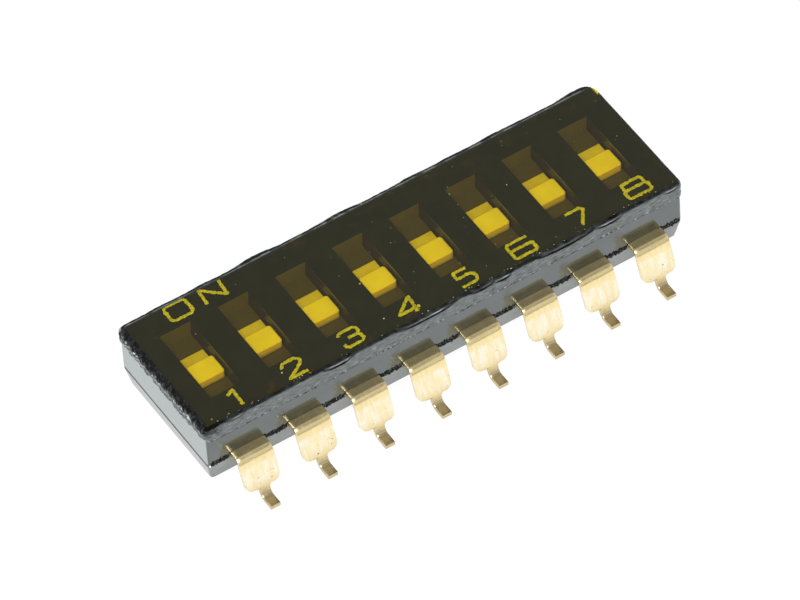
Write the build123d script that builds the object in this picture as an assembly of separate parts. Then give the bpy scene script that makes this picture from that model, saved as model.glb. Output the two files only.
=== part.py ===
from build123d import *
from math import atan2, pi, radians, sin, sqrt, tan
import os

os.makedirs("parts", exist_ok=True)

# Eight-pole surface-mount slide switch, sizes in millimetres.
# +X runs along the row from pole 1, -Y is the OFF side with the numbers, +Y is the ON side.
# Z = 0 is the plane of the solder feet, and the origin is the middle of that plane.

# Row and body
POLES = 8
PITCH = 2.54
END_MARGIN = 1.71
COVER_WIDTH = 6.10
COVER_RISE = 1.89
BASE_STANDOFF = 0.79
BASE_DRAFT_ANGLE = 10.0
BASE_CORNER_RADIUS = 0.14
BASE_EDGE_CHAMFER = 0.05
RIM_DROP = 0.05
RIM_BEVEL = 0.06

# Terminal strip and its gull-wing leg
STRIP_THICKNESS = 0.18
STRIP_UNDERSIDE = 1.79
STRIP_WIDTH = 1.50
LEDGE_LENGTH = 0.35
KNEE_RADIUS = 0.28
ANKLE_RADIUS = 0.12
LEG_LEAN = 20.0
FOOT_TIP = 4.84
FOOT_WIDTH = 0.42
SHOULDER_HEIGHT = 0.54
SHOULDER_RADIUS = 0.30
PAD_WIDTH = 1.10
PAD_NECK_DEPTH = 0.42
FRONT_PAD_END = 0.36
BACK_PAD_END = 0.70
ANCHOR_HOLE = 0.46
ANCHOR_DEPTH = 0.33

# Cover shell
COVER_CORNER_RADIUS = 0.12
COVER_TOP_CHAMFER = 0.10
TAB_OVERLAP = 0.08
END_WALL_OVERLAP = 0.16
TAB_CORNER_CHAMFER = 0.06
SIDE_WALL = 0.46
END_WALL = 0.62
END_LIP = 0.12
CHAMBER_WIDTH = 1.70
CHAMBER_LENGTH = 4.80

# Window recess over each pole
WINDOW_WIDTH = 1.36
WINDOW_LENGTH = 3.63
RECESS_DEPTH = 0.68
RECESS_DRAFT_ANGLE = 5.0
FLOOR_THICKNESS = 0.22

# Slider: raised knob, low step behind it, and the hooked stem that snaps through the floor
TRAVEL = 0.90
SLIDER_FRONT = 0.765
STEP_WIDTH = 1.10
STEP_LENGTH = 0.62
STEP_THICKNESS = 0.09
KNOB_WIDTH = 1.18
KNOB_LENGTH = 0.945
KNOB_HEIGHT = 0.38
KNOB_CORNER_RADIUS = 0.12
KNOB_EDGE_CHAMFER = 0.04
STEM_SETBACK = 0.145
STEM_LENGTH = 0.44
STEM_WIDTH = 0.42
HOOK_REACH = 0.12
HOOK_LIP = 0.05
HOOK_HEIGHT = 0.22
POST_SIZE = 0.24
RIVET_SIZE = 0.38
RIVET_HEIGHT = 0.09

# Moving contact spring under each slider
SPRING_THICKNESS = 0.07
SPRING_WIDTH = 0.64
SPRING_FLAT = 0.66
SPRING_FOOT_SPREAD = 1.20
SPRING_TOE_LENGTH = 0.16
SPRING_BEND_RADIUS = 0.09

# Openings under the pads and the pins that locate the cover
CORE_HOLE_LENGTH = 0.80
CORE_HOLE_WIDTH = 0.60
CORE_HOLE_OFFSET = 1.55
LOCATING_PIN = 0.46
LOCATING_PIN_HEIGHT = 0.60
LOCATING_PIN_OFFSET = 1.40

# Seal film over the top, turned down over the edges
FILM_THICKNESS = 0.05
SKIRT_DEPTH = 0.95

# Clearances
SLIDE_GAP = 0.03
CONTACT_GAP = 0.02
STEM_CLEARANCE = 0.04
POST_CLEARANCE = 0.02
SEAT_CLEARANCE = 0.03
NOTCH_CLEARANCE = 0.05
STRIP_CLEARANCE = 0.02
PIN_CLEARANCE = 0.02
FILM_CLEARANCE = 0.01

# Levels and positions worked out from the sizes above
ROW_LENGTH = (POLES - 1) * PITCH
COVER_LENGTH = ROW_LENGTH + 2 * END_MARGIN
HALF_LENGTH = COVER_LENGTH / 2
HALF_WIDTH = COVER_WIDTH / 2
STRIP_TOP = STRIP_UNDERSIDE + STRIP_THICKNESS
RIM_LEVEL = STRIP_UNDERSIDE - RIM_DROP
TAB_LEVEL = STRIP_TOP - TAB_OVERLAP
END_WALL_LEVEL = STRIP_TOP - END_WALL_OVERLAP
SOCKET_CEILING = STRIP_TOP + SEAT_CLEARANCE
COVER_TOP = STRIP_TOP + COVER_RISE
FLOOR_TOP = COVER_TOP - RECESS_DEPTH
FLOOR_UNDERSIDE = FLOOR_TOP - FLOOR_THICKNESS
HOOK_TOP = FLOOR_UNDERSIDE - SLIDE_GAP
SPRING_TOP = HOOK_TOP - HOOK_HEIGHT
SPRING_FOOT_LEVEL = STRIP_TOP + CONTACT_GAP
SLIDER_UNDERSIDE = FLOOR_TOP + SLIDE_GAP
STEM_CENTRE = STEM_SETBACK + STEM_LENGTH / 2 - SLIDER_FRONT
POLE_CENTRES = [PITCH * index - ROW_LENGTH / 2 for index in range(POLES)]
END_GAPS = [POLE_CENTRES[0] + PITCH / 2, POLE_CENTRES[-1] - PITCH / 2]


def block(length, width, bottom, top, x=0.0, y=0.0):
    """Box between two heights."""
    return Pos(x, y, (bottom + top) / 2) * Box(length, width, top - bottom)


def peg(diameter, bottom, top, x=0.0, y=0.0):
    """Upright cylinder between two heights."""
    return Pos(x, y, (bottom + top) / 2) * Cylinder(diameter / 2, top - bottom)


def ribbon(line, thickness, width, above):
    """Strip of sheet metal: a line in the YZ plane, thickened up or down, and a width along X."""
    profiles = [
        make_face(offset(line, amount=thickness, side=side, kind=Kind.INTERSECTION))
        for side in (Side.LEFT, Side.RIGHT)
    ]
    low, high = sorted(profiles, key=lambda profile: profile.bounding_box().max.Z)
    return extrude(high if above else low, amount=width / 2, both=True)


def leg_outline():
    """Front view of the strip: full width, rounded shoulders, narrow neck and foot."""
    plate_height = COVER_TOP - SHOULDER_HEIGHT
    plate = Pos(0, SHOULDER_HEIGHT + plate_height / 2) * Rectangle(STRIP_WIDTH, plate_height)
    neck = Pos(0, SHOULDER_HEIGHT / 2) * Rectangle(FOOT_WIDTH, SHOULDER_HEIGHT)
    outline = plate + neck
    corners = outline.vertices().group_by(Axis.Y)[1].sort_by(Axis.X)
    return fillet([corners[0], corners[-1]], SHOULDER_RADIUS)


def front_terminal(pad_end):
    """Contact pad inside the body, then ledge, knee, leaning leg, ankle and solder foot."""
    knee_y = -(HALF_WIDTH + LEDGE_LENGTH + KNEE_RADIUS * tan(radians(90 - LEG_LEAN) / 2))
    ankle_y = knee_y - (STRIP_TOP - STRIP_THICKNESS) * tan(radians(LEG_LEAN))
    line = FilletPolyline(
        (0, pad_end, STRIP_TOP),
        (0, knee_y, STRIP_TOP),
        (0, ankle_y, STRIP_THICKNESS),
        (0, -FOOT_TIP, STRIP_THICKNESS),
        radius=[KNEE_RADIUS, ANKLE_RADIUS],
    )
    strip = ribbon(line, STRIP_THICKNESS, 2 * STRIP_WIDTH, above=False)
    strip = strip & extrude(Plane.XZ * leg_outline(), amount=2 * FOOT_TIP, both=True)
    trim_y = PAD_NECK_DEPTH - HALF_WIDTH + COVER_WIDTH
    for side in (-1, 1):
        trim_x = side * (PAD_WIDTH + STRIP_WIDTH) / 2
        strip -= block(STRIP_WIDTH, 2 * COVER_WIDTH, 0, COVER_TOP, trim_x, trim_y)
    return strip - block(ANCHOR_HOLE, ANCHOR_HOLE, 0, COVER_TOP, 0, ANCHOR_DEPTH - HALF_WIDTH)


def contact_spring():
    """Bowed leaf with two feet; its flat top is riveted to the slider's stem."""
    underside = SPRING_TOP - SPRING_THICKNESS
    foot = SPRING_FOOT_SPREAD / 2
    toe = foot + SPRING_TOE_LENGTH
    arm_angle = atan2(underside - SPRING_FOOT_LEVEL, foot - SPRING_FLAT / 2)
    toe_angle = pi * 3 / 4
    tip_to_centre = sin((toe_angle + arm_angle) / 2) / sin((toe_angle - arm_angle) / 2)
    corner_level = SPRING_FOOT_LEVEL - SPRING_BEND_RADIUS * (tip_to_centre - 1)
    toe_level = corner_level + SPRING_TOE_LENGTH
    arms = [
        FilletPolyline(
            (0, side * toe, toe_level),
            (0, side * foot, corner_level),
            (0, side * SPRING_FLAT / 2, underside),
            radius=SPRING_BEND_RADIUS,
        )
        for side in (-1, 1)
    ]
    line = arms[0] + Line(arms[0] @ 1, arms[1] @ 1) + arms[1]
    leaf = ribbon(line, SPRING_THICKNESS, SPRING_WIDTH, above=True)
    hole = POST_SIZE + 2 * POST_CLEARANCE
    return Pos(0, STEM_CENTRE, 0) * (leaf - block(hole, hole, underside, SPRING_TOP))


def slider():
    """Knob and step above the recess floor, hooked stem, post and rivet head below it."""
    knob_y = KNOB_LENGTH / 2 - SLIDER_FRONT
    plan = Pos(0, knob_y, SLIDER_UNDERSIDE) * RectangleRounded(
        KNOB_WIDTH, KNOB_LENGTH, KNOB_CORNER_RADIUS
    )
    knob = extrude(plan, amount=KNOB_HEIGHT)
    knob = chamfer(knob.edges().group_by(Axis.Z)[-1], KNOB_EDGE_CHAMFER)
    step_y = KNOB_LENGTH + STEP_LENGTH / 2 - SLIDER_FRONT
    step_top = SLIDER_UNDERSIDE + STEP_THICKNESS
    overlap = KNOB_LENGTH / 2
    body = knob + block(
        STEP_WIDTH, STEP_LENGTH + overlap, SLIDER_UNDERSIDE, step_top, 0, step_y - overlap / 2
    )
    body += block(STEM_WIDTH, STEM_LENGTH, SPRING_TOP, SLIDER_UNDERSIDE, 0, STEM_CENTRE)
    root = STEM_WIDTH / 2
    tip = root + HOOK_REACH
    hooks = make_face(
        Polyline(
            (-root, SPRING_TOP),
            (-tip, HOOK_TOP - HOOK_LIP),
            (-tip, HOOK_TOP),
            (tip, HOOK_TOP),
            (tip, HOOK_TOP - HOOK_LIP),
            (root, SPRING_TOP),
            close=True,
        )
    )
    body += Pos(0, STEM_CENTRE, 0) * extrude(Plane.XZ * hooks, amount=STEM_LENGTH / 2, both=True)
    rivet_top = SPRING_TOP - SPRING_THICKNESS
    body += block(POST_SIZE, POST_SIZE, rivet_top, SPRING_TOP, 0, STEM_CENTRE)
    rivet_bottom = rivet_top - RIVET_HEIGHT
    return body + block(RIVET_SIZE, RIVET_SIZE, rivet_bottom, rivet_top, 0, STEM_CENTRE)


def base():
    """Tapered block with a raised seat, channels for the pads, anchor bosses and pins."""
    draft = (RIM_LEVEL - BASE_STANDOFF) * tan(radians(BASE_DRAFT_ANGLE))
    sections = [
        (BASE_STANDOFF, draft + BASE_EDGE_CHAMFER),
        (BASE_STANDOFF + BASE_EDGE_CHAMFER, draft),
        (RIM_LEVEL - RIM_BEVEL, 0),
        (RIM_LEVEL, RIM_BEVEL),
    ]
    body = loft(
        [
            Pos(0, 0, level)
            * RectangleRounded(
                COVER_LENGTH - 2 * inset, COVER_WIDTH - 2 * inset, BASE_CORNER_RADIUS
            )
            for level, inset in sections
        ],
        ruled=True,
    )
    seat_length = COVER_LENGTH - 2 * (END_WALL + SEAT_CLEARANCE)
    seat_width = COVER_WIDTH - 2 * (SIDE_WALL + SEAT_CLEARANCE)
    body += block(seat_length, seat_width, RIM_LEVEL, STRIP_TOP)
    channel = PAD_WIDTH + 2 * STRIP_CLEARANCE
    boss = ANCHOR_HOLE - 2 * PIN_CLEARANCE
    anchor_y = HALF_WIDTH - ANCHOR_DEPTH
    for x in POLE_CENTRES:
        front_end = FRONT_PAD_END + STRIP_CLEARANCE
        back_end = BACK_PAD_END - STRIP_CLEARANCE
        front_y = (front_end - HALF_WIDTH) / 2
        back_y = (back_end + HALF_WIDTH) / 2
        body -= block(channel, front_end + HALF_WIDTH, STRIP_UNDERSIDE, STRIP_TOP, x, front_y)
        body -= block(channel, HALF_WIDTH - back_end, STRIP_UNDERSIDE, STRIP_TOP, x, back_y)
        for side in (-1, 1):
            body += block(boss, boss, RIM_LEVEL, STRIP_TOP, x, side * anchor_y)
            body -= block(
                CORE_HOLE_WIDTH,
                CORE_HOLE_LENGTH,
                BASE_STANDOFF,
                STRIP_UNDERSIDE,
                x,
                side * CORE_HOLE_OFFSET,
            )
    for x in END_GAPS:
        for side in (-1, 1):
            pin_top = STRIP_TOP + LOCATING_PIN_HEIGHT
            body += peg(LOCATING_PIN, STRIP_TOP, pin_top, x, side * LOCATING_PIN_OFFSET)
    return body


def cover():
    """Shell with recessed windows above, chambers below and notches over the terminals."""
    plan = Pos(0, 0, END_WALL_LEVEL) * RectangleRounded(
        COVER_LENGTH, COVER_WIDTH, COVER_CORNER_RADIUS
    )
    body = extrude(plan, amount=COVER_TOP - END_WALL_LEVEL)
    body = chamfer(body.edges().group_by(Axis.Z)[-1], COVER_TOP_CHAMFER)
    for side in (-1, 1):
        body -= block(
            COVER_LENGTH - 2 * END_LIP,
            SIDE_WALL,
            END_WALL_LEVEL,
            TAB_LEVEL,
            0,
            side * (HALF_WIDTH - SIDE_WALL / 2),
        )
    body -= block(
        COVER_LENGTH - 2 * END_WALL, COVER_WIDTH - 2 * SIDE_WALL, END_WALL_LEVEL, SOCKET_CEILING
    )
    notch_width = STRIP_WIDTH + 2 * NOTCH_CLEARANCE
    slot_width = STEM_WIDTH + 2 * STEM_CLEARANCE
    slot_length = STEM_LENGTH + TRAVEL + 2 * STEM_CLEARANCE
    slot_y = STEM_CENTRE + TRAVEL / 2
    for x in POLE_CENTRES:
        window = Pos(x, 0, COVER_TOP) * Rectangle(WINDOW_WIDTH, WINDOW_LENGTH)
        body -= extrude(window, amount=-RECESS_DEPTH, taper=RECESS_DRAFT_ANGLE)
        body -= block(slot_width, slot_length, FLOOR_UNDERSIDE, FLOOR_TOP, x, slot_y)
        body -= block(CHAMBER_WIDTH, CHAMBER_LENGTH, SOCKET_CEILING, FLOOR_UNDERSIDE, x)
        body -= block(notch_width, COVER_WIDTH, END_WALL_LEVEL, SOCKET_CEILING, x)
    for x in END_GAPS:
        for side in (-1, 1):
            body -= peg(
                LOCATING_PIN + 2 * PIN_CLEARANCE,
                SOCKET_CEILING,
                STRIP_TOP + LOCATING_PIN_HEIGHT + SEAT_CLEARANCE,
                x,
                side * LOCATING_PIN_OFFSET,
            )
    notch_edges = body.edges().filter_by(Axis.Y).filter_by(
        lambda edge: abs(edge.center().Z - TAB_LEVEL) < 1e-6
    )
    return chamfer(notch_edges, TAB_CORNER_CHAMFER)


def seal_film():
    """Thin sheet over the top face with skirts down all four sides."""
    solids = []
    for growth in (FILM_CLEARANCE + FILM_THICKNESS, FILM_CLEARANCE):
        top = COVER_TOP + growth - FILM_CLEARANCE
        bottom = COVER_TOP + FILM_THICKNESS - SKIRT_DEPTH
        plan = Pos(0, 0, bottom) * RectangleRounded(
            COVER_LENGTH + 2 * growth, COVER_WIDTH + 2 * growth, COVER_CORNER_RADIUS + growth
        )
        shape = extrude(plan, amount=top - bottom)
        edge = COVER_TOP_CHAMFER + (growth - FILM_CLEARANCE) * (2 - sqrt(2))
        solids.append(chamfer(shape.edges().group_by(Axis.Z)[-1], edge))
    return solids[0] - solids[1]


export_step(base(), "parts/base.step")
export_step(cover(), "parts/cover.step")
export_step(seal_film(), "parts/seal_film.step")

slider_shape = slider()
spring_shape = contact_spring()
front_shape = front_terminal(FRONT_PAD_END)
back_shape = mirror(front_terminal(-BACK_PAD_END), about=Plane.XZ)
for index, centre in enumerate(POLE_CENTRES, start=1):
    place = Pos(centre, 0, 0)
    export_step(place * slider_shape, f"parts/slider_{index}.step")
    export_step(place * spring_shape, f"parts/contact_{index}.step")
    export_step(place * front_shape, f"parts/front_terminal_{index}.step")
    export_step(place * back_shape, f"parts/back_terminal_{index}.step")
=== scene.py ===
import math
import random

import bmesh
import bpy
from mathutils import Matrix, Vector, noise


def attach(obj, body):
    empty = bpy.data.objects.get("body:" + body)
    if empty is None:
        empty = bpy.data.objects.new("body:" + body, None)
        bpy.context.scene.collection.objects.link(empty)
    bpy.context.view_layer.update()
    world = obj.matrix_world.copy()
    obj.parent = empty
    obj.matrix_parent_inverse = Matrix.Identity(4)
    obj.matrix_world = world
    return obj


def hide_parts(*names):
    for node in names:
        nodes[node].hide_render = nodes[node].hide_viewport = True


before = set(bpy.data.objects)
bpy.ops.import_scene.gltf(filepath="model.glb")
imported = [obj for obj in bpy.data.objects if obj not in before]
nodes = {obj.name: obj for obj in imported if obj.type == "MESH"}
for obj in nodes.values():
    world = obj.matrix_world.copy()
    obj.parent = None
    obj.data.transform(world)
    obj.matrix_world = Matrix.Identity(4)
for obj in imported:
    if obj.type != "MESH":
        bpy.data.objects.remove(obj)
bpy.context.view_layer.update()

# Sizes are in millimetres in the CAD's frame: X along the row, the numbers towards -Y, Z up.
MM = 0.001
POLES = 8
PITCH = 2.54
HALF_LENGTH = 10.60
HALF_WIDTH = 3.05
COVER_TOP = 3.86
HOUSING = "housing"


# ---------------------------------------------------------------- helpers


def centre(pole):
    """X of a pole's middle line."""
    return (pole - (POLES + 1) / 2) * PITCH


def tree(name):
    """A new node material, its node tree and its output."""
    mat = bpy.data.materials.new(name)
    mat.use_nodes = True
    nt = mat.node_tree
    nt.nodes.clear()
    out = nt.nodes.new("ShaderNodeOutputMaterial")
    return mat, nt, out


def node(nt, kind, inputs=None, **settings):
    """Adds a node; inputs are values or sockets to link."""
    n = nt.nodes.new(kind)
    for key, value in settings.items():
        setattr(n, key, value)
    for key, value in (inputs or {}).items():
        socket = n.inputs[key]
        if isinstance(value, bpy.types.NodeSocket):
            nt.links.new(value, socket)
        else:
            socket.default_value = value
    return n


def coords(nt, scale):
    """Object coordinates in millimetres, scaled along each axis."""
    pos = node(nt, "ShaderNodeTexCoord").outputs["Object"]
    mapping = node(nt, "ShaderNodeMapping", {"Vector": pos})
    if not hasattr(scale, "__len__"):
        scale = (scale,) * 3
    mapping.inputs["Scale"].default_value = [s / MM for s in scale]
    return mapping.outputs["Vector"]


def noise_at(nt, scale, detail=3.0, rough=0.55):
    """Noise whose features are about 1/scale millimetres."""
    inputs = {"Vector": coords(nt, scale), "Scale": 1.0, "Detail": detail, "Roughness": rough}
    return node(nt, "ShaderNodeTexNoise", inputs).outputs["Fac"]


def position(nt):
    """The X, Y and Z of the place on the piece, in metres."""
    place = node(nt, "ShaderNodeTexCoord").outputs["Object"]
    return node(nt, "ShaderNodeSeparateXYZ", {0: place}).outputs


def facing(nt):
    """The X, Y and Z of the surface direction."""
    normal = node(nt, "ShaderNodeNewGeometry").outputs["Normal"]
    return node(nt, "ShaderNodeSeparateXYZ", {0: normal}).outputs


def ramp(nt, fac, low, high, a=0.0, b=1.0):
    """Maps fac from low..high to a..b, clamped."""
    inputs = {"Value": fac, "From Min": low, "From Max": high, "To Min": a, "To Max": b}
    return node(nt, "ShaderNodeMapRange", inputs).outputs["Result"]


def ramp_mm(nt, place, low, high, a=0.0, b=1.0):
    """Ramp over a place in metres, with low and high in millimetres."""
    return ramp(nt, place, low * MM, high * MM, a, b)


def math_node(nt, op, a, b=0.0):
    return node(nt, "ShaderNodeMath", {0: a, 1: b}, operation=op).outputs[0]


def product(nt, a, b):
    return math_node(nt, "MULTIPLY", a, b)


def absolute(nt, value):
    return math_node(nt, "ABSOLUTE", value)


def mix_colour(nt, fac, a, b):
    n = node(nt, "ShaderNodeMix", data_type="RGBA")
    for index, value in ((0, fac), (6, a), (7, b)):
        socket = n.inputs[index]
        if isinstance(value, bpy.types.NodeSocket):
            nt.links.new(value, socket)
        else:
            socket.default_value = value if index == 0 else (*value, 1)
    return n.outputs[2]


def patchy(nt, fac, low, high, tones):
    """Two tones by a noise: the first below low, the second above high."""
    return mix_colour(nt, ramp(nt, fac, low, high), *tones)


def bump(nt, height, distance, strength=1.0, normal=None):
    """Bump from a height map; distance is in millimetres."""
    inputs = {"Height": height, "Distance": distance * MM, "Strength": strength}
    if normal is not None:
        inputs["Normal"] = normal
    return node(nt, "ShaderNodeBump", inputs).outputs["Normal"]


def edge_normal(nt, radius, height, distance, strength):
    """Bump over slightly rounded edges."""
    rounded = node(nt, "ShaderNodeBevel", {"Radius": radius * MM}, samples=4)
    return bump(nt, height, distance, strength, rounded.outputs["Normal"])


def principled(nt, inputs):
    return node(nt, "ShaderNodeBsdfPrincipled", inputs)


def blend(nt, share, first, second):
    """Two shaders mixed; share is how much of the second."""
    return node(nt, "ShaderNodeMixShader", {0: share, 1: first.outputs[0], 2: second.outputs[0]})


def surface(nt, out, shader):
    nt.links.new(shader.outputs[0], out.inputs["Surface"])


def add_object(name, data):
    obj = bpy.data.objects.new(name, data)
    bpy.context.scene.collection.objects.link(obj)
    return obj


def mesh_object(name, verts, faces, smooth=True):
    me = bpy.data.meshes.new(name)
    me.from_pydata([[c * MM for c in v] for v in verts], [], faces)
    me.validate()
    me.update()
    if smooth:
        me.polygons.foreach_set("use_smooth", [True] * len(me.polygons))
    return add_object(name, me)


def dress(obj, mat):
    """Puts one material on an object."""
    obj.data.materials.clear()
    obj.data.materials.append(mat)


# ---------------------------------------------------------------- materials

END_FACE_SHEEN = (0.66, 0.74, 0.74)
BODY_TINT = (0.92, 1.0, 0.99, 1)
BASE_TONES = (0.095, 0.105, 0.103), (0.16, 0.17, 0.166)
COVER_TONES = (0.006, 0.008, 0.009), (0.022, 0.026, 0.028)
TOP_TONES = (0.007, 0.010, 0.010), (0.013, 0.017, 0.016)
TOP_STAIN = (0.060, 0.038, 0.010)
RECESS_TONES = (0.108, 0.098, 0.076), (0.132, 0.119, 0.094)
RECESS_FLOOR_SHADE = (0.080, 0.072, 0.052)
RECESS_SIDE_SHADE = (0.045, 0.038, 0.030)
RECESS_EDGE_HIGHLIGHT = (0.17, 0.145, 0.08)
GOLD_TONES = (0.89, 0.725, 0.37), (0.95, 0.80, 0.455)
GOLD_SMEAR = (0.985, 0.93, 0.76)
GOLD_NICK = (0.10, 0.08, 0.05)
GOLD_LOW_SHADE = (0.50, 0.40, 0.23)
GOLD_LINE = (0.62, 0.48, 0.22)
IVORY_TONES = (0.93, 0.87, 0.78), (0.97, 0.92, 0.84)
IVORY_FRONT_SHADE = (0.95, 0.77, 0.60)
IVORY_STEP_SHADE = (0.52, 0.47, 0.40)
INK_TONES = (0.36, 0.41, 0.26), (0.72, 0.80, 0.52)
GAP_TONES = (0.004, 0.004, 0.004), (0.30, 0.30, 0.29)
DUST_TONES = (0.34, 0.24, 0.08), (0.90, 0.88, 0.78)
FILM_TONES = (0.93, 0.865, 0.19), (0.95, 0.885, 0.23)
FILM_GLOSS = (0.94, 1, 0.98, 1)
SKIRT_TONES = (0.030, 0.035, 0.036), (0.060, 0.068, 0.070)
SKIRT_TINT = (0.92, 1.0, 1.0, 1)
SKIRT_RIDGE_HIGHLIGHT = (0.78, 0.82, 0.80)
SKIRT_FOLD_SHADE = (0.006, 0.006, 0.005, 1)


def body_shader(nt, tones, end_sheen):
    """Dark moulded plastic: a strong gloss, a fine grain, and a painted sheen that makes the end
    faces paler.
    """
    grain = noise_at(nt, 9.0, 4.0)
    tone = patchy(nt, noise_at(nt, 0.9, 3.0), 0.35, 0.7, tones)
    # painted sheen: faces across X painted towards a pale grey, by the sheen amount
    side = absolute(nt, facing(nt)["X"])
    tone = mix_colour(nt, ramp(nt, side, 0.75, 0.95, 0.0, end_sheen), tone, END_FACE_SHEEN)
    inputs = {
        "Base Color": tone,
        "Roughness": ramp(nt, noise_at(nt, 2.2, 4.0), 0.35, 0.65, 0.06, 0.15),
        "IOR": 2.3,
        "Specular Tint": BODY_TINT,
        "Normal": edge_normal(nt, 0.03, grain, 0.005, 0.4),
    }
    return principled(nt, inputs)


def base_material(name):
    mat, nt, out = tree(name)
    surface(nt, out, body_shader(nt, BASE_TONES, 0.10))
    return mat


def cover_material(name):
    """Glossy walls outside; under the film a black top and duller brown recesses, with painted
    shade on their floor and side walls and a painted highlight along the side walls' upper edge.
    """
    mat, nt, out = tree(name)
    place = position(nt)
    far_x = absolute(nt, place["X"])
    far_y = absolute(nt, place["Y"])
    past_end = ramp_mm(nt, far_x, HALF_LENGTH - 0.10, HALF_LENGTH - 0.02)
    past_side = ramp_mm(nt, far_y, HALF_WIDTH - 0.07, HALF_WIDTH - 0.02)
    outside = math_node(nt, "MAXIMUM", past_end, past_side)
    top = ramp_mm(nt, place["Z"], COVER_TOP - 0.025, COVER_TOP - 0.005)
    across = ramp(nt, absolute(nt, facing(nt)["X"]), 0.6, 0.8)
    patch = noise_at(nt, 1.1, 4.0)
    # the recesses: walls, with painted shade on the floor and the side walls, and a painted
    # highlight along the side walls' upper edge, strongest towards the middle
    recess = patchy(nt, patch, 0.3, 0.7, RECESS_TONES)
    recess = mix_colour(nt, ramp(nt, facing(nt)["Z"], 0.6, 0.9), recess, RECESS_FLOOR_SHADE)
    recess = mix_colour(nt, across, recess, RECESS_SIDE_SHADE)
    edge_highlight = product(nt, across, ramp_mm(nt, place["Z"], COVER_TOP - 0.10, COVER_TOP - 0.05))
    edge_highlight = product(nt, edge_highlight, ramp_mm(nt, far_y, 1.2, 0.1))
    recess = mix_colour(nt, edge_highlight, recess, RECESS_EDGE_HIGHLIGHT)
    # the top: black, stained brown near its long edges
    black = patchy(nt, patch, 0.3, 0.7, TOP_TONES)
    stain = ramp(nt, noise_at(nt, 1.4, 5.0, 0.7), 0.56, 0.68)
    stain = product(nt, ramp_mm(nt, far_y, 2.1, 2.9), stain)
    black = mix_colour(nt, stain, black, TOP_STAIN)
    inputs = {
        "Base Color": mix_colour(nt, top, recess, black),
        "Roughness": ramp(nt, top, 0.0, 1.0, 0.22, 0.7),
        "IOR": 1.45,
        "Specular IOR Level": 0.25,
        "Normal": edge_normal(nt, 0.03, noise_at(nt, 9.0, 4.0), 0.003, 0.3),
    }
    inner = principled(nt, inputs)
    # the outside walls, with a strong painted sheen on the end faces
    outer = body_shader(nt, COVER_TONES, 0.46)
    surface(nt, out, blend(nt, outside, inner, outer))
    return mat


def metal_material(name):
    """Pale gold plating, rolled along the strip, with whitish smears, drawn lines on the bend and
    a few dark nicks low down; painted shade darkens the neck and the foot."""
    mat, nt, out = tree(name)
    streak = noise_at(nt, (9.0, 0.6, 0.6), 3.0)
    blotch = noise_at(nt, (5.0, 1.2, 1.2), 4.0)
    spots = noise_at(nt, (7.0, 9.0, 13.0), 2.0)
    drawn = noise_at(nt, (0.7, 16.0, 16.0), 3.0, 0.7)
    height = position(nt)["Z"]
    above_neck = ramp_mm(nt, height, 0.62, 0.72)
    leg = product(nt, above_neck, ramp_mm(nt, height, 1.58, 1.42))
    leg_foot = product(nt, above_neck, ramp_mm(nt, height, 1.15, 0.95))
    bend = ramp_mm(nt, height, 1.66, 1.80)
    tone = patchy(nt, streak, 0.3, 0.7, GOLD_TONES)
    smear = product(nt, leg, ramp(nt, blotch, 0.42, 0.62, 0.25, 0.9))
    tone = mix_colour(nt, smear, tone, GOLD_SMEAR)
    nick = product(nt, leg_foot, ramp(nt, spots, 0.70, 0.72))
    tone = mix_colour(nt, nick, tone, GOLD_NICK)
    # painted shade: the neck and foot painted darker and browner, and the leg just above them a
    # little
    foot_shade = product(nt, ramp_mm(nt, height, 0.60, 0.38), 0.65)
    low_shade = math_node(nt, "ADD", foot_shade, ramp_mm(nt, height, 0.95, 0.72, 0.0, 0.14))
    tone = mix_colour(nt, low_shade, tone, GOLD_LOW_SHADE)
    line = product(nt, bend, ramp(nt, drawn, 0.35, 0.65))
    tone = mix_colour(nt, product(nt, line, 0.55), tone, GOLD_LINE)
    relief = math_node(nt, "ADD", streak, product(nt, bend, drawn))
    inputs = {
        "Base Color": tone,
        "Metallic": 0.88,
        "Roughness": ramp(nt, blotch, 0.3, 0.7, 0.17, 0.28),
        "Normal": bump(nt, relief, 0.003, 0.35),
    }
    surface(nt, out, principled(nt, inputs))
    return mat


def ivory_material(name):
    """Slider plastic: off-white, soft gloss; painted shade makes its front face warmer and darker
    and its low step darker.
    """
    mat, nt, out = tree(name)
    tone = patchy(nt, noise_at(nt, 1.6, 3.0), 0.35, 0.65, IVORY_TONES)
    # painted shade: front faces painted warmer and darker, for the more deeply tinted light that
    # reaches them
    tone = mix_colour(nt, ramp(nt, facing(nt)["Y"], -0.5, -0.9), tone, IVORY_FRONT_SHADE)
    # painted shade: the low step painted darker, by a noisy amount
    shade = ramp(nt, noise_at(nt, 1.1, 2.0), 0.35, 0.65, 0.55, 0.95)
    low = product(nt, ramp_mm(nt, position(nt)["Z"], 3.36, 3.27), shade)
    tone = mix_colour(nt, low, tone, IVORY_STEP_SHADE)
    inputs = {
        "Base Color": tone,
        "Roughness": 0.42,
        "IOR": 1.46,
        "Normal": edge_normal(nt, 0.05, noise_at(nt, 14.0, 3.0), 0.003, 0.3),
    }
    surface(nt, out, principled(nt, inputs))
    return mat


def ink_material(name):
    """Printed paint, patchy."""
    mat, nt, out = tree(name)
    tone = patchy(nt, noise_at(nt, 7.0, 4.0, 0.7), 0.36, 0.60, INK_TONES)
    surface(nt, out, principled(nt, {"Base Color": tone, "Roughness": 0.6}))
    return mat


def seam_material(name):
    """Rough and nearly black in the parting gap, with paler flecks."""
    mat, nt, out = tree(name)
    fleck = noise_at(nt, (14.0, 14.0, 20.0), 3.0, 0.8)
    inputs = {
        "Base Color": patchy(nt, fleck, 0.56, 0.66, GAP_TONES),
        "Roughness": 0.85,
        "IOR": 1.25,
        "Normal": bump(nt, fleck, 0.02, 0.8),
    }
    surface(nt, out, principled(nt, inputs))
    return mat


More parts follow.
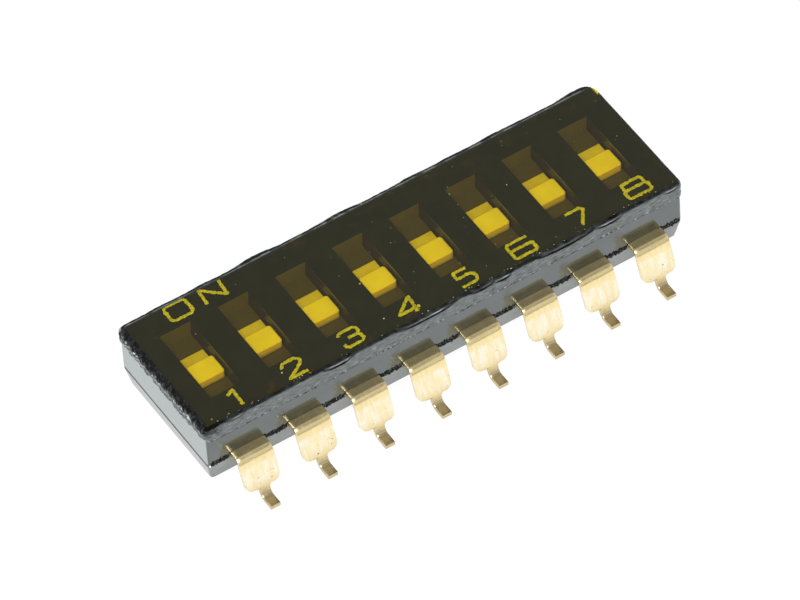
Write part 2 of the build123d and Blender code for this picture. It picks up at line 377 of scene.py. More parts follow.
def dust_material(name):
    """Specks from brown to nearly white."""
    mat, nt, out = tree(name)
    tone = patchy(nt, noise_at(nt, 2.5, 2.0), 0.42, 0.58, DUST_TONES)
    surface(nt, out, principled(nt, {"Base Color": tone, "Roughness": 0.8}))
    return mat


def film_material(name):
    """Thin amber film: what is behind shows through it tinted, and its front mirrors softly."""
    mat, nt, out = tree(name)
    tint = patchy(nt, noise_at(nt, 0.8, 2.0), 0.35, 0.65, FILM_TONES)
    see = node(nt, "ShaderNodeBsdfTransparent", {"Color": tint})
    gloss = node(nt, "ShaderNodeBsdfGlossy", {"Color": FILM_GLOSS, "Roughness": 0.08})
    fresnel = node(nt, "ShaderNodeFresnel", {"IOR": 1.80}).outputs[0]
    behind = node(nt, "ShaderNodeNewGeometry").outputs["Backfacing"]
    share = product(nt, fresnel, math_node(nt, "SUBTRACT", 1.0, behind))
    surface(nt, out, blend(nt, share, see, gloss))
    return mat


def skirt_material(name):
    """The film where it is stuck down the sides: glossy grey. The mesh's attribute carries painted
    light: below 0 it turns the film black, painted shade in the creases, and above 0 pale, painted
    highlights on the ridges and edges."""
    mat, nt, out = tree(name)
    crease = noise_at(nt, 5.0, 4.0)
    fine = noise_at(nt, (22.0, 16.0, 9.0), 3.0)
    fold_shading = node(nt, "ShaderNodeAttribute", attribute_name="fold_shading").outputs["Fac"]
    tone = patchy(nt, crease, 0.4, 0.6, SKIRT_TONES)
    inputs = {
        # painted highlight: pale where the attribute is above 0
        "Base Color": mix_colour(nt, ramp(nt, fold_shading, 0.0, 1.0), tone, SKIRT_RIDGE_HIGHLIGHT),
        "Roughness": ramp(nt, crease, 0.3, 0.7, 0.08, 0.20),
        "IOR": 2.05,
        "Specular Tint": SKIRT_TINT,
        "Normal": bump(nt, math_node(nt, "ADD", crease, product(nt, fine, 0.35)), 0.012, 0.5),
    }
    glossy = principled(nt, inputs)
    # painted shade: a matt black in place of the gloss where the attribute is below 0
    black = node(nt, "ShaderNodeBsdfDiffuse", {"Color": SKIRT_FOLD_SHADE})
    surface(nt, out, blend(nt, ramp(nt, fold_shading, 0.0, -1.0), glossy, black))
    return mat


cover_mat = cover_material("moulded_cover")
base_mat = base_material("moulded_base")
metal_mat = metal_material("plated_strip")
ivory_mat = ivory_material("slider_plastic")
ink_mat = ink_material("printed_ink")
film_mat = film_material("amber_film")
skirt_mat = skirt_material("stuck_film")
seam_mat = seam_material("parting_gap_strips")
dust_mat = dust_material("dust")

dress(nodes["base"], base_mat)
dress(nodes["cover"], cover_mat)
for pole in range(1, POLES + 1):
    dress(nodes[f"slider_{pole}"], ivory_mat)
    dress(nodes[f"contact_{pole}"], metal_mat)

# ---------------------------------------------------------------- seal film

FILM_TOP = 3.91
FILM_OUT = 0.05
FILM_THICK = 0.03
FILM_STEP = 0.05
# the corners in turn from the front right: signs of X and Y, first angle, radius
FILM_CORNERS = (
    (1, -1, -90, 0.20),
    (1, 1, 0, 0.46),
    (-1, 1, 90, 0.30),
    (-1, -1, 180, 0.22),
)
CORNER_STEPS = 8
CORNER_ROOM = 0.3
FLAT_INSETS = (1.1, 0.7, 0.45, 0.30)
ROLL_STEPS = 8
SKIRT_STEPS = 18
# left, right, front and rear: radius over the cover's edge, and height of the stuck lower edge
ROLL_RADII = (0.21, 0.10, 0.12, 0.17)
SKIRT_ENDS = (3.28, 3.12, 3.16, 3.10)
CREASE_LEVEL = 3.82
# where the film bulges along the front edge: start x, end x, how far down, how dark
FRONT_FOLDS = (
    (-9.80, -8.75, 0.13, 0.45),
    (-5.50, -4.05, 0.16, 0.90),
    (-2.25, 0.50, 0.14, 1.00),
    (1.05, 2.25, 0.11, 0.95),
    (2.15, 2.95, 0.17, 1.00),
    (4.05, 6.70, 0.12, 1.10),
    (6.65, 8.00, 0.15, 0.90),
    (9.75, 10.50, 0.17, 0.60),
)
BULGE = 0.022
# the film is left clear over this part of the right edge: past x, from y to y
CLEAR_CORNER = (10.38, 2.60, 3.02)
# and where it rolls over that edge: past x, above z
CLEAR_ROLL = (10.5, 3.87)


def outline(half_x, half_y):
    """Points round a rectangle with round corners: position, outward normal."""
    count_x = round(2 * (HALF_LENGTH - CORNER_ROOM) / FILM_STEP)
    count_y = round(2 * (HALF_WIDTH - CORNER_ROOM) / FILM_STEP)
    arcs = []
    for sx, sy, start, radius in FILM_CORNERS:
        arc = []
        for i in range(CORNER_STEPS + 1):
            angle = math.radians(start + 90 * i / CORNER_STEPS)
            nx, ny = math.cos(angle), math.sin(angle)
            x = sx * (half_x - radius) + radius * nx
            y = sy * (half_y - radius) + radius * ny
            arc.append((x, y, nx, ny))
        arcs.append(arc)
    points = []
    for k, arc in enumerate(arcs):
        points += arc
        (ax, ay, nx, ny), (bx, by, _, _) = arc[-1], arcs[(k + 1) % 4][0]
        count = count_y if k % 2 == 0 else count_x
        for i in range(1, count):
            points.append((ax + (bx - ax) * i / count, ay + (by - ay) * i / count, nx, ny))
    return points


def wave(x, y, z, scale, seed):
    """Smooth noise about 0; seed picks the pattern."""
    return noise.noise(Vector((x * scale + seed, y * scale - seed, z * scale)))


def crinkle(x, y, z, scale, seed):
    """Sharp creases: up to 1 at a fold, lower between folds."""
    warp = wave(x, y, z, scale * 0.6, seed + 9) * 0.5
    return 1 - abs(wave(x + warp, y + warp, z + warp, scale, seed)) * 2


def smooth(low, high, value):
    """From 0 at low to 1 at high, with soft ends."""
    t = min(1.0, max(0.0, (value - low) / (high - low)))
    return t * t * (3 - 2 * t)


def bell(value, middle, width):
    """1 at the middle, down to 0 on both sides."""
    return math.exp(-(((value - middle) / width) ** 2))


def front_fold(x):
    """Height of the crease under the front edge at x, where shade is painted dark, and how strong
    the bulge is there.
    """
    level, strength = CREASE_LEVEL + 0.010 * wave(x, 0, 0, 2.2, 31), 0.0
    for start, end, depth, amount in FRONT_FOLDS:
        if start < x < end:
            bow = math.sin(math.pi * (x - start) / (end - start)) ** 0.5
            level -= depth * bow * (0.95 + 0.35 * wave(x, 0, 0, 1.4, 33))
            strength = max(strength, amount * bow)
    return level, strength


def front_side(x, y, z, px, py, bottom, fall, turned):
    """Front of the skirt: how far it stands out, and its tone, which is painted light and shade.
    The rolled edge is painted dark, a painted dark crease dips under each bulge with a painted pale
    highlight above it, painted pale and dark dashes mark the stuck edge, and the left end is
    crumpled and painted darker."""
    level, fold_shading = front_fold(x)
    below = (FILM_TOP - z) / (FILM_TOP - level)
    lift = BULGE * fold_shading * math.sqrt(max(0.0, below)) if below <= 1 else 0.0
    lift += 0.014 * fall * crinkle(px, py, z, 2.2, 17)
    width = 0.030 + 0.034 * fold_shading + 0.012 * wave(x, 0, 0, 3.1, 35)
    tone = -1.5 * fold_shading * bell(z, level + 0.04, width)
    tone -= (0.80 + 0.3 * wave(x, y, z, 5.0, 36)) * smooth(CREASE_LEVEL, CREASE_LEVEL + 0.05, z)
    pale = 0.7 * fold_shading * (0.8 + 0.8 * wave(x, 0, 0, 1.7, 37))
    tone += pale * bell(z, level + 0.135, 0.022)
    dash = wave(x, y, 0, 9.0, 41)
    dotted = smooth(-0.15, 0.15, wave(x, 0, 0, 0.9, 43))
    dashes = 0.45 * smooth(0.15, 0.4, dash) - (0.25 + 0.9 * dotted) * smooth(0.0, -0.3, dash)
    tone += dashes * bell(z, bottom + 0.02, 0.035)
    scratch = wave(px * 0.18, py, z, 20.0, 39)
    tone += fall * (0.10 * smooth(0.1, 0.5, scratch) - 0.35 * smooth(-0.15, -0.5, scratch))
    crumpled = smooth(-9.6, -10.3, x) * turned
    lift += 0.03 * crumpled * crinkle(px, py, z, 3.6, 55)
    grey = smooth(0.0, 0.5, wave(px, py, z, 7.0, 53))
    tone += crumpled * (0.7 * grey - 0.65) * smooth(3.3, 3.6, z)
    return lift, tone


def left_side(x, y, z, px, py, fall):
    """Left of the skirt: how far it stands out, and its tone, which is painted light and shade. It
    is crumpled and painted black, with fine streaks and a few painted glints, down to a ragged
    line, and painted pale below that line."""
    lift = 0.05 * (crinkle(px, py, z, 3.2, 4) - 0.3) + 0.025 * crinkle(px, py, z, 7.5, 6)
    ragged = 3.56 - 0.08 * smooth(0.2, 0.9, y) + 0.12 * wave(x, y, 0, 3.2, 43)
    up = (z - ragged) / (3.87 - ragged)
    spread = smooth(-0.25, 0.25, wave(0, y, z * 0.5, 2.4, 46))
    streak = smooth(0.0, 0.45, wave(px, y, z * 0.35, 13.0, 44))
    glint = smooth(0.10, 0.30, wave(px, y, z * 0.7, 17.0, 45))
    glint *= 0.12 + bell(z, ragged + 0.06, 0.11)
    sparkle = smooth(0.10, 0.26, wave(px, y, z * 0.7, 11.0, 45))
    sparkle *= smooth(0.8, 0.25, up) * (0.35 + spread)
    black = 0.45 * streak + 1.5 * sparkle + 0.4 * glint - 0.92 + 0.20 * smooth(0.6, 0.0, up)
    pale = 0.45 * smooth(-0.35, 0.0, up) - 0.15 * streak * spread
    dark = smooth(ragged - 0.06, ragged + 0.04, z)
    return fall * lift, dark * black + (1 - dark) * pale


def rear_side(x, px, py, z, fall):
    """Rear of the skirt: how far it stands out, in loose swells."""
    swell = max(0.0, wave(x, 0, 0, 0.55, 21) + 0.12)
    return fall * (0.05 + 0.20 * swell + 0.02 * crinkle(px, py, z, 3.0, 14))


def film_point(x, y, nx, ny, step):
    """One point of the film's turned-down edge, and its tone: painted shade below 0, painted
    highlight above 0.
    """
    left, right = max(0, -nx) ** 2, max(0, nx) ** 2
    front, rear = max(0, -ny) ** 2, max(0, ny) ** 2
    sides = left, right, front, rear
    corner = 4 * nx * nx * ny * ny
    roll = sum(radius * share for radius, share in zip(ROLL_RADII, sides))
    bottom = sum(end * share for end, share in zip(SKIRT_ENDS, sides))
    bottom += (0.05 * wave(x, y, 0, 0.9, 3) + 0.03 * wave(x, y, 0, 4.5, 8)) * (1 + left)
    if step <= ROLL_STEPS:
        angle = math.pi / 2 * step / ROLL_STEPS
        out_by = roll * (math.sin(angle) - 1)
        z = FILM_TOP - roll * (1 - math.cos(angle))
    else:
        out_by = 0.0
        z = FILM_TOP - roll + (bottom - FILM_TOP + roll) * (step - ROLL_STEPS) / SKIRT_STEPS
    px, py = x + nx * out_by, y + ny * out_by
    fall = min(1.0, step / ROLL_STEPS)
    turned = smooth(0, 2, step)

    front_lift, front_tone = front_side(x, y, z, px, py, bottom, fall, turned)
    left_lift, left_tone = left_side(x, y, z, px, py, fall)
    lift = 0.010 * wave(px, py, z, 1.3, 1) + front * front_lift + left * left_lift
    lift += rear * rear_side(x, px, py, z, fall)
    lift += 0.05 * corner * fall * (crinkle(px, py, z, 3.0, 12) - 0.5)
    # painted light and shade from each side; the right side painted a little darker
    tone = front * front_tone + left * left_tone - 0.12 * right * smooth(0, 3, step)

    # rear and corners: painted shade, black round the edge, a painted paler patch on the back left
    # corner, and a fine painted highlight line where the film leaves the top
    grey = smooth(0.05, 0.3, wave(px, py, z, 4.5, 47))
    rim = turned * smooth(3.66, 3.76, z)
    tone += (rear + 0.5 * corner) * rim * (0.35 * grey - 0.85)
    if nx < 0 < ny:
        tone += 0.9 * corner * rim * (0.45 + grey)
    if step == 1:
        line = rear + 0.5 * left * smooth(-0.2, 0.3, wave(x, y, 0, 9.0, 50))
        tone += 0.6 * line * smooth(-0.5, 0.0, wave(x, y, 0, 2.0, 49))
    return (px + nx * lift, py + ny * lift, z - 0.15 * abs(lift) * (1 - fall)), tone


def film_piece():
    """The sheet over the top, rolled over the edges and stuck down the sides with crinkles."""
    rings = []
    fold_shading_values = []
    for inset in FLAT_INSETS:
        ring = outline(HALF_LENGTH - inset, HALF_WIDTH - inset)
        rings.append([(x, y, FILM_TOP) for x, y, _, _ in ring])
        fold_shading_values += [0.0] * len(ring)
    edge = outline(HALF_LENGTH + FILM_OUT, HALF_WIDTH + FILM_OUT)
    for step in range(ROLL_STEPS + SKIRT_STEPS + 1):
        points = [film_point(*place, step) for place in edge]
        rings.append([point for point, _ in points])
        fold_shading_values += [tone for _, tone in points]
    count = len(edge)
    verts = [v for ring in rings for v in ring]
    faces = [tuple(range(count))]
    for r in range(len(rings) - 1):
        for k in range(count):
            n = (k + 1) % count
            faces.append((r * count + k, (r + 1) * count + k, (r + 1) * count + n, r * count + n))
    obj = mesh_object("film", verts, faces)
    me = obj.data
    # each point's tone, painted shade below 0 and painted highlight above 0, for the skirt's
    # material
    me.attributes.new("fold_shading", "FLOAT", "POINT").data.foreach_set("value", fold_shading_values)
    me.materials.append(film_mat)
    me.materials.append(skirt_mat)
    flat_faces = 1 + len(FLAT_INSETS) * count
    for p in me.polygons:
        if p.index >= flat_faces:
            c = p.center / MM
            loose = c.x > CLEAR_CORNER[0] and CLEAR_CORNER[1] < c.y < CLEAR_CORNER[2]
            rolled = c.x > CLEAR_ROLL[0] and c.z > CLEAR_ROLL[1]
            p.material_index = 0 if loose or rolled else 1
    thick = obj.modifiers.new("thickness", "SOLIDIFY")
    thick.thickness = FILM_THICK * MM
    thick.offset = -1
    return obj


film = film_piece()
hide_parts("seal_film")
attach(film, HOUSING)

# ---------------------------------------------------------------- terminals

# the strip, drawn for the front row; Y runs from the pad inside to the tip of the foot
STRIP_TOP = 1.97
STRIP = 0.18
LEAD_HALF = 0.75
PAD_HALF = 0.55
PAD_STEP = -2.63
HOLE_HALF = 0.23
HOLE_Y = -2.72
JOIN_Y = -2.97
KNEE_Y = -3.596
ANKLE_Y = -4.2475
FOOT_END = -4.84
FRONT_PAD_END = 0.36
BACK_PAD_END = -0.70
LEAN = math.radians(20)
KNEE_REACH = 0.36
KNEE_DROP = 0.46
KNEE_STEPS = 14
ANKLE_RADIUS = 0.22
ANKLE_STEPS = 10
SHOULDER = 0.54
SHOULDER_RADIUS = 0.30
NECK_HALF = 0.21
NECK_FLARE = 0.10
EDGE = 0.018
FOOT_EDGE = 0.25
CROWN = 0.010
UNEVEN = 0.006
SHARP_ANGLE = math.radians(50)


def lead_half(z):
    """Half the lead's width at a height: plate, round shoulders, flared neck, foot."""
    rise = z - SHOULDER
    if rise >= SHOULDER_RADIUS:
        return LEAD_HALF
    if rise >= 0:
        drop = SHOULDER_RADIUS - rise
        return LEAD_HALF - SHOULDER_RADIUS + math.sqrt(SHOULDER_RADIUS**2 - drop**2)
    return NECK_HALF + NECK_FLARE * max(0.0, 1 + rise / NECK_FLARE) ** 2


def lead_path():
    """Points of the strip's top face outside the pad, with their outward direction in YZ."""
    turn = math.pi / 2 - LEAN
    points = []
    # the flat ledge, then the knee, which is part of an ellipse
    start = KNEE_Y - KNEE_DROP * (1 - math.cos(turn)) * math.tan(LEAN) + KNEE_REACH * math.sin(turn)
    for i in range(5):
        points.append((JOIN_Y + (start - JOIN_Y) * i / 5, STRIP_TOP, 0.0, 1.0))
    for i in range(KNEE_STEPS + 1):
        a = turn * i / KNEE_STEPS
        ny, nz = -KNEE_DROP * math.sin(a), KNEE_REACH * math.cos(a)
        size = math.hypot(ny, nz)
        y = start - KNEE_REACH * math.sin(a)
        points.append((y, STRIP_TOP - KNEE_DROP * (1 - math.cos(a)), ny / size, nz / size))
    # the leaning leg, with more points round its shoulders and neck
    top = points[-1][1]
    low = STRIP + ANKLE_RADIUS * math.tan(turn / 2) * math.cos(LEAN)
    levels = [top - 0.2 * i for i in range(1, 5)]
    levels += [SHOULDER + SHOULDER_RADIUS * (1 - math.sin(math.pi / 16 * i)) for i in range(9)]
    levels += [SHOULDER - 0.004 - 0.0125 * i for i in range(9)]
    for z in [v for v in levels if v > low + 0.02]:
        y = KNEE_Y - (STRIP_TOP - z) * math.tan(LEAN)
        points.append((y, z, -math.cos(LEAN), math.sin(LEAN)))
    # the ankle and the foot
    foot_y = ANKLE_Y - ANKLE_RADIUS * math.tan(turn / 2)
    for i in range(ANKLE_STEPS + 1):
        a = turn * (1 - i / ANKLE_STEPS)
        ny, nz = -math.sin(a), math.cos(a)
        points.append((foot_y - ANKLE_RADIUS * ny, STRIP + ANKLE_RADIUS * (1 - nz), ny, nz))
    for i in range(1, 5):
        points.append((foot_y + (FOOT_END - foot_y) * i / 4, STRIP, 0.0, 1.0))
    return points


def lead_section(half, blunt):
    """Ring round the strip's section: X, and depth below the top face."""
    e = EDGE * blunt
    ring = [(-half, -STRIP / 2)]
    ring += [(-half, -e - CROWN), (-half + 0.35 * e, -0.3 * e - CROWN), (-half + e, -CROWN)]
    ring += [(-0.75 * half, -0.2 * CROWN), (0, 0), (0.75 * half, -0.2 * CROWN)]
    ring += [(half - e, -CROWN), (half - 0.35 * e, -0.3 * e - CROWN), (half, -e - CROWN)]
    ring += [(half, -STRIP / 2), (half, e - STRIP), (half - e, -STRIP)]
    ring += [(0, -STRIP), (e - half, -STRIP), (-half, e - STRIP)]
    return ring


def pad_cells(pad_end):
    """The flat pad inside the body, with its anchor hole: verts and faces of a plate."""
    xs = (-LEAD_HALF, -PAD_HALF, -HOLE_HALF, HOLE_HALF, PAD_HALF, LEAD_HALF)
    ys = (JOIN_Y, HOLE_Y - HOLE_HALF, PAD_STEP, HOLE_Y + HOLE_HALF, pad_end)
    columns, rows = len(xs) - 1, len(ys) - 1

    def solid(i, j):
        if not (0 <= i < columns and 0 <= j < rows):
            return False
        if i in (0, columns - 1) and j > 1:
            return False
        return not (i == 2 and j in (1, 2))

    def at(i, j, k):
        return (k * len(ys) + j) * len(xs) + i

    verts = [(x, y, z) for z in (STRIP_TOP - STRIP, STRIP_TOP) for y in ys for x in xs]
    faces = []
    for i in range(columns):
        for j in range(rows):
            if not solid(i, j):
                continue
            faces.append((at(i, j, 1), at(i + 1, j, 1), at(i + 1, j + 1, 1), at(i, j + 1, 1)))
            faces.append((at(i, j, 0), at(i, j + 1, 0), at(i + 1, j + 1, 0), at(i + 1, j, 0)))
            for di, dj, a, b in (
                (-1, 0, (i, j + 1), (i, j)),
                (1, 0, (i + 1, j), (i + 1, j + 1)),
                (0, -1, (i, j), (i + 1, j)),
                (0, 1, (i + 1, j + 1), (i, j + 1)),
            ):
                if not solid(i + di, j + dj):
                    faces.append((at(*a, 0), at(*b, 0), at(*b, 1), at(*a, 1)))
    return verts, faces


def terminal_piece(name, pole, side, pad_end):
    """One stamped and bent terminal, slightly uneven; side is 1 at the front, -1 behind."""
    verts, faces = pad_cells(pad_end)
    seed = pole * 3.7 + side
    rings = []
    for y, z, ny, nz in lead_path():
        half = lead_half(z) if y < KNEE_Y else LEAD_HALF
        ring = []
        for x, depth in lead_section(half, 1.0 if z > SHOULDER else FOOT_EDGE):
            sag = depth + UNEVEN * wave(x, y, z, 1.3, seed) * smooth(JOIN_Y, -3.2, y)
            ring.append((x, y + ny * sag, max(0.0, z + nz * sag)))
        rings.append(ring)
    first = len(verts)
    size = len(rings[0])
    for ring in rings:
        verts += ring
    for r in range(len(rings) - 1):
        for k in range(size):
            n = (k + 1) % size
            a, b = first + r * size, first + (r + 1) * size
            faces.append((a + k, b + k, b + n, a + n))
    last = first + (len(rings) - 1) * size
    faces.append(tuple(first + k for k in range(size)))
    faces.append(tuple(last + k for k in reversed(range(size))))
    verts = [(centre(pole) + x * side, y * side, z) for x, y, z in verts]
    obj = mesh_object(name, verts, faces)
    bm = bmesh.new()
    bm.from_mesh(obj.data)
    unused = [v for v in bm.verts if not v.link_faces]
    bmesh.ops.delete(bm, geom=unused, context="VERTS")
    bmesh.ops.recalc_face_normals(bm, faces=bm.faces)
    bm.to_mesh(obj.data)
    bm.free()
    obj.data.set_sharp_from_angle(angle=SHARP_ANGLE)
    obj.modifiers.new("flat_faces", "WEIGHTED_NORMAL").keep_sharp = True
    dress(obj, metal_mat)
    return obj


for pole in range(1, POLES + 1):
    for side, end, pad_end in ((1, "front", FRONT_PAD_END), (-1, "back", BACK_PAD_END)):
        piece = terminal_piece(f"{end}_lead_{pole}", pole, side, pad_end)
        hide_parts(f"{end}_terminal_{pole}")
        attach(piece, HOUSING)

# ---------------------------------------------------------------- dark strips in the parting gap

SEAM_STEP = 0.03
SEAM_ROWS = 4
SEAM_Y = 3.056
SEAM_LOW = 1.70
SEAM_HIGH = 1.95
SEAM_END = 10.50
SEAM_THICK = 0.02
LEAD_ROOM = 0.80


def seam_piece():
    """Ragged dark strips along the parting gap, between the terminals at the front and back."""
    verts = []
    faces = []
    spans = [(-SEAM_END, centre(1) - LEAD_ROOM)]
    spans += [(centre(p) + LEAD_ROOM, centre(p + 1) - LEAD_ROOM) for p in range(1, POLES)]
    spans.append((centre(POLES) + LEAD_ROOM, SEAM_END))
    for side in (-1, 1):
        for start, end in spans:
            count = round((end - start) / SEAM_STEP)
            for i in range(count + 1):
                x = start + (end - start) * i / count
                taper = min(1.0, 6 * min(i, count - i) / count)
                top = SEAM_HIGH - 0.03 * (1 - taper) + 0.11 * wave(x, side, 0, 11.0, 61) * taper
                low = SEAM_LOW + 0.05 * (1 - taper) + 0.12 * wave(x, side, 5, 9.0, 63) * taper
                for k in range(SEAM_ROWS + 1):
                    t = k / SEAM_ROWS
                    z = low + (top - low) * t
                    crumb = 0.012 * math.sin(math.pi * t) + 0.022 * wave(x, side, z, 14.0, 65)
                    verts.append((x, side * (SEAM_Y + max(0.0, crumb)), z))
                if i:
                    n = SEAM_ROWS + 1
                    a = len(verts) - 2 * n
                    for k in range(SEAM_ROWS):
                        quad = (a + k, a + k + n, a + k + n + 1, a + k + 1)
                        faces.append(quad if side < 0 else quad[::-1])
    obj = mesh_object("parting_gap_strips", verts, faces, smooth=False)
    body = obj.modifiers.new("body", "SOLIDIFY")
    body.thickness = SEAM_THICK * MM
    body.offset = -1
    return obj


seam = seam_piece()
dress(seam, seam_mat)
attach(seam, HOUSING)

# ---------------------------------------------------------------- dust on the film

# x, y and size of the larger specks
SPECKS = (
    (-2.06, -0.33, 0.035),
    (-6.78, -2.33, 0.035),
    (-8.40, 1.12, 0.018),
    (0.13, 2.99, 0.035),
    (-2.25, -2.30, 0.025),
    (3.10, 0.85, 0.020),
    (3.12, 1.48, 0.020),
    (9.35, -2.80, 0.025),
    (1.18, -2.86, 0.030),
    (-2.75, -2.95, 0.030),
    (5.15, 0.62, 0.020),
    (-10.1, -2.75, 0.030),
)
# scattered specks, along the front edge and then all over: range of y, range of size
SCATTER = (((-2.98, -2.88), (0.01, 0.02)), ((-2.8, 2.9), (0.006, 0.013)))
SCATTER_X = (-10.3, 10.4)
SCATTER_COUNT = 60
DUST_GAP = 0.001


def dust_piece():
    """Irregular flakes lying on the film."""
    draw = random.Random(11)
    specks = list(SPECKS)
    for y_range, size_range in SCATTER:
        for _ in range(SCATTER_COUNT):
            x, y = draw.uniform(*SCATTER_X), draw.uniform(*y_range)
            specks.append((x, y, draw.uniform(*size_range)))
    verts = []
    faces = []
    for x, y, size in specks:
        first = len(verts)
        for i in range(6):
            angle = math.pi / 3 * i
            reach = 1.3 * size * draw.uniform(0.5, 1.1)
            px, py = x + reach * math.cos(angle), y + reach * math.sin(angle)
            verts.append((px, py, FILM_TOP + DUST_GAP))
        verts.append((x, y, FILM_TOP + DUST_GAP + 0.25 * size))
        verts.append((x, y, FILM_TOP))
        for i in range(6):
            n = (i + 1) % 6
            faces.append((first + i, first + n, first + 6))
            faces.append((first + n, first + i, first + 7))
    return mesh_object("dust", verts, faces, smooth=False)


dust = dust_piece()
dress(dust, dust_mat)
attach(dust, HOUSING)

# ---------------------------------------------------------------- printed legend

STROKE = 0.14
STROKE_STEP = 0.045
STROKE_SHAKE = 0.008
STROKE_SWELL = 0.15
INK_RISE = 0.005
INK_GAP = 0.001
# strokes of each glyph in a unit square
GLYPHS = {
    "O": [
        [(0.12, 0), (0.88, 0), (1, 0.12), (1, 0.88), (0.88, 1), (0.12, 1), (0, 0.88), (0, 0.12)]
        + [(0.12, 0)],
    ],
    "N": [[(0, 0), (0.06, 1), (0.94, 0), (1, 1)]],
    "1": [[(0, 0.80), (0.75, 1), (0.65, 0)]],
    "2": [
        [(0, 0.72), (0.08, 0.94), (0.25, 1), (0.80, 1), (1, 0.85), (1, 0.70), (0.88, 0.55)]
        + [(0, 0), (1, 0)],
    ],
    "3": [
        [(0, 0.80), (0.05, 0.97), (0.18, 1), (0.85, 1), (1, 0.88), (1, 0.66), (0.85, 0.52)]
        + [(0.35, 0.52)],
        [(0.85, 0.52), (1, 0.40), (1, 0.13), (0.85, 0), (0.12, 0), (0, 0.10), (0, 0.25)],
    ],
    "4": [[(0.75, 0), (0.85, 1), (0, 0.22), (1, 0.22)]],
    "5": [
        [(0.80, 1), (0.12, 1), (0.08, 0.58), (0.75, 0.58), (0.95, 0.48), (1, 0.30), (0.92, 0.08)]
        + [(0.75, 0), (0.05, 0)],
    ],
    "6": [
        [(0.95, 1), (0.10, 1), (0, 0.90), (0, 0.08), (0.08, 0), (0.92, 0), (1, 0.08), (1, 0.46)]
        + [(0.92, 0.54), (0.02, 0.54)],
    ],
    "7": [[(0, 1), (0.88, 1), (0.97, 0.85), (0.40, 0)]],
    "8": [
        [(0.12, 0.55), (0.08, 0.60), (0.08, 0.94), (0.14, 1), (0.86, 1), (0.92, 0.94)]
        + [(0.92, 0.60), (0.88, 0.55), (0.12, 0.55)],
        [(0.12, 0.55), (0, 0.45), (0, 0.08), (0.08, 0), (0.92, 0), (1, 0.08), (1, 0.45)]
        + [(0.88, 0.55)],
    ],
}
# glyph, left, bottom, width and height of the stroke's middle line
LEGEND = [
    ("O", -8.76, 2.14, 0.93, 0.77),
    ("N", -7.25, 2.15, 0.95, 0.77),
    ("1", -9.02, -2.76, 0.42, 0.84),
    ("2", -6.66, -2.73, 0.78, 0.78),
    ("3", -4.12, -2.70, 0.80, 0.78),
    ("4", -1.68, -2.66, 0.92, 0.80),
    ("5", 0.98, -2.68, 0.80, 0.78),
    ("6", 3.42, -2.68, 0.98, 0.78),
    ("7", 6.10, -2.68, 0.78, 0.78),
    ("8", 8.58, -2.66, 1.02, 0.78),
]


def legend_piece():
    """All the printed strokes as one mesh of low, slightly uneven ridges."""
    curve = bpy.data.curves.new("legend_line", "CURVE")
    curve.dimensions = "3D"
    curve.bevel_depth = STROKE / 2 * MM
    curve.bevel_resolution = 3
    curve.use_fill_caps = True
    draw = random.Random(5)
    for glyph, left, bottom, width, height in LEGEND:
        for stroke in GLYPHS[glyph]:
            points = []
            for (ax, ay), (bx, by) in zip(stroke, stroke[1:]):
                length = math.hypot((bx - ax) * width, (by - ay) * height)
                steps = max(1, round(length / STROKE_STEP))
                for i in range(steps):
                    points.append((ax + (bx - ax) * i / steps, ay + (by - ay) * i / steps))
            points.append(stroke[-1])
            spline = curve.splines.new("POLY")
            spline.points.add(len(points) - 1)
            for point, (px, py) in zip(spline.points, points):
                x = left + px * width + draw.gauss(0, STROKE_SHAKE)
                y = bottom + py * height + draw.gauss(0, STROKE_SHAKE)
                point.co = (x * MM, y * MM, 0, 1)
                point.radius = 1.0 + draw.gauss(0, STROKE_SWELL)
    holder = add_object("legend_line", curve)
    bpy.context.view_layer.update()
    dg = bpy.context.evaluated_depsgraph_get()
    me = bpy.data.meshes.new_from_object(holder.evaluated_get(dg))
    bpy.data.objects.remove(holder)
    flat = INK_RISE / (STROKE / 2)
    for v in me.vertices:
        v.co.z = v.co.z * flat + (COVER_TOP + INK_GAP) * MM
    return add_object("legend", me)


legend = legend_piece()
dress(legend, ink_mat)
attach(legend, HOUSING)

# ---------------------------------------------------------------- stage, light, camera

FLOOR_HALF = 400
FLOOR_GREY = (0.96, 0.96, 0.96, 1)
FLOOR_GLOW = 1.05
FLOOR_GLOW_SHARE = 0.90
WHITE = (1, 1, 1, 1)
# lens in millimetres; from here on places and distances are in metres, as Blender has them
LENS = 369.0
SENSOR = 36.0
CLIP = (0.01, 5.0)
CAMERA_PLACE = (-0.100170, -0.175611, 0.236052)
# azimuth, elevation and roll in degrees
CAMERA_ANGLES = (-29.654, 49.266, -4.2)
KEY_PLACE = (-0.08, -0.13, 0.23)
KEY_TARGET = (0, 0, 0.002)
KEY_SIZE = 0.14
KEY_ENERGY = 0.64


def stage_floor():
    """Pale floor that reads as white and keeps a soft shadow."""
    corners = ((-1, -1), (1, -1), (1, 1), (-1, 1))
    verts = [(sx * FLOOR_HALF, sy * FLOOR_HALF, 0) for sx, sy in corners]
    obj = mesh_object("floor", verts, [(0, 1, 2, 3)])
    mat, nt, out = tree("pale_floor")
    matte = node(nt, "ShaderNodeBsdfDiffuse", {"Color": FLOOR_GREY})
    white = node(nt, "ShaderNodeEmission", {"Color": WHITE, "Strength": FLOOR_GLOW})
    path = node(nt, "ShaderNodeLightPath").outputs
    seen = math_node(nt, "MAXIMUM", path["Is Camera Ray"], path["Is Glossy Ray"])
    seen = math_node(nt, "MAXIMUM", seen, path["Is Transmission Ray"])
    surface(nt, out, blend(nt, product(nt, seen, FLOOR_GLOW_SHARE), matte, white))
    dress(obj, mat)


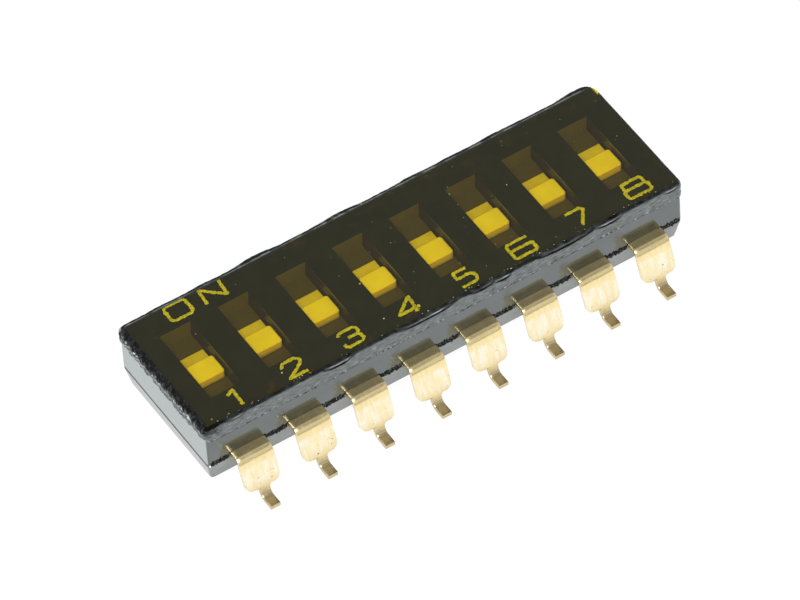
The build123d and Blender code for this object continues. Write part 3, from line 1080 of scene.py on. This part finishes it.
def sky():
    """World: white behind the object, and a soft light that is dim near the horizon, weaker
    overhead and weaker from the back."""
    world = bpy.data.worlds.new("studio")
    bpy.context.scene.world = world
    world.use_nodes = True
    nt = world.node_tree
    nt.nodes.clear()
    out = nt.nodes.new("ShaderNodeOutputWorld")
    direction = node(nt, "ShaderNodeTexCoord").outputs["Generated"]
    split = node(nt, "ShaderNodeSeparateXYZ", {0: direction}).outputs
    walls = ramp(nt, split["Z"], 0.03, 0.17, 0.12, 0.71)
    ceiling = ramp(nt, split["Z"], 0.60, 0.80, 1.0, 0.58)
    rear = ramp(nt, split["Y"], 0.0, 0.5, 1.0, 0.50)
    high_front = product(nt, ramp(nt, split["Z"], 0.66, 0.74), ramp(nt, split["Y"], -0.1, -0.4))
    ceiling = product(nt, ceiling, ramp(nt, high_front, 0.0, 1.0, 1.0, 0.60))
    strength = product(nt, product(nt, walls, ceiling), rear)
    soft = node(nt, "ShaderNodeBackground", {"Color": WHITE, "Strength": strength})
    white = node(nt, "ShaderNodeBackground", {"Color": WHITE, "Strength": 1.0})
    path = node(nt, "ShaderNodeLightPath").outputs
    surface(nt, out, blend(nt, path["Is Camera Ray"], soft, white))


def key_light():
    """One soft lamp, in nearly the camera's direction and a little higher."""
    light = bpy.data.lights.new("key", "AREA")
    light.shape = "DISK"
    light.size = KEY_SIZE
    light.energy = KEY_ENERGY
    obj = add_object("key", light)
    obj.location = KEY_PLACE
    aim = Vector(KEY_TARGET) - Vector(KEY_PLACE)
    obj.rotation_euler = aim.to_track_quat("-Z", "Y").to_euler()
    obj.visible_camera = False


def photo_camera():
    """The camera that was fitted to the photo."""
    camera = bpy.data.cameras.new("camera")
    camera.sensor_width = SENSOR
    camera.lens = LENS
    camera.clip_start, camera.clip_end = CLIP
    azimuth, elevation, roll = (math.radians(v) for v in CAMERA_ANGLES)
    flat = math.cos(elevation)
    back = Vector((math.sin(azimuth) * flat, -math.cos(azimuth) * flat, math.sin(elevation)))
    right = Vector((math.cos(azimuth), math.sin(azimuth), 0))
    up = back.cross(right)
    right_rolled = math.cos(roll) * right + math.sin(roll) * up
    up_rolled = -math.sin(roll) * right + math.cos(roll) * up
    turn = Matrix((right_rolled, up_rolled, back)).transposed().to_4x4()
    obj = add_object("camera", camera)
    obj.matrix_world = Matrix.Translation(CAMERA_PLACE) @ turn
    return obj


stage_floor()
sky()
key_light()
bpy.context.scene.camera = photo_camera()
bpy.context.scene.view_settings.view_transform = "Standard"
